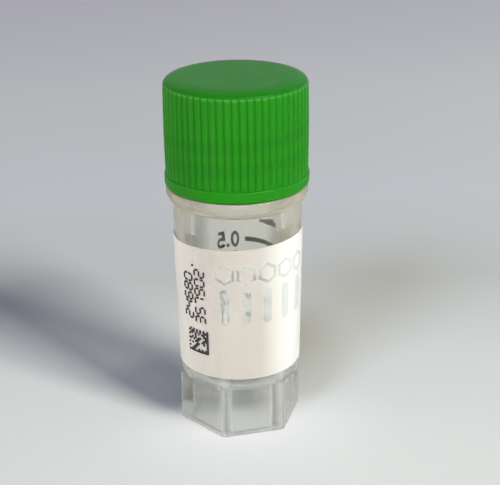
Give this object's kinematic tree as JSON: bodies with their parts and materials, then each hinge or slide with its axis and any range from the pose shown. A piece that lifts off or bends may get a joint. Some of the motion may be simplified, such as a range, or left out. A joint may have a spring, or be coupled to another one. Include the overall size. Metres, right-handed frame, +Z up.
{
  "type": "cryovial",
  "caption": "Clear screw-cap cryogenic vial with a hexagonal skirted foot, round-bottomed bore, ribbed green cap over a ring seal, white writing panel and volume marks.",
  "frame": {"origin": "centre of the foot's underside, on the vial's axis", "axes": "+Z up the vial's axis; the middle of the writing panel faces -Y"},
  "size_m": [0.013, 0.013, 0.0333],
  "materials": {
    "clear_vial": "clear moulded polypropylene, glossy",
    "green_cap": "moulded green polypropylene, satin gloss",
    "silicone_seal": "soft pale silicone",
    "white_panel": "matte white printed panel",
    "grey_ink": "dark grey screen print",
    "black_ink": "near-black laser print"
  },
  "bodies": {
    "vial_body": {"vial": "clear_vial", "writing_panel": "white_panel", "volume_scale": "grey_ink", "code_print": "black_ink"},
    "washer_body": {"sealing_washer": "silicone_seal"},
    "cap_body": {"cap": "green_cap"}
  },
  "joints": [
    {"name": "cap_lift", "type": "slide", "parent": "vial_body", "child": "washer_body", "axis": [0, 0, 1], "range_m": [0, 0.0084]},
    {"name": "cap_turn", "type": "hinge", "parent": "washer_body", "child": "cap_body", "pos_m": [0, 0, 0.0236], "axis": [0, 0, 1], "range_deg": [0, 1440]}
  ],
  "couplings": [
    {"joint": "cap_turn", "follows": "cap_lift", "rad_per_m": 2992}
  ]
}
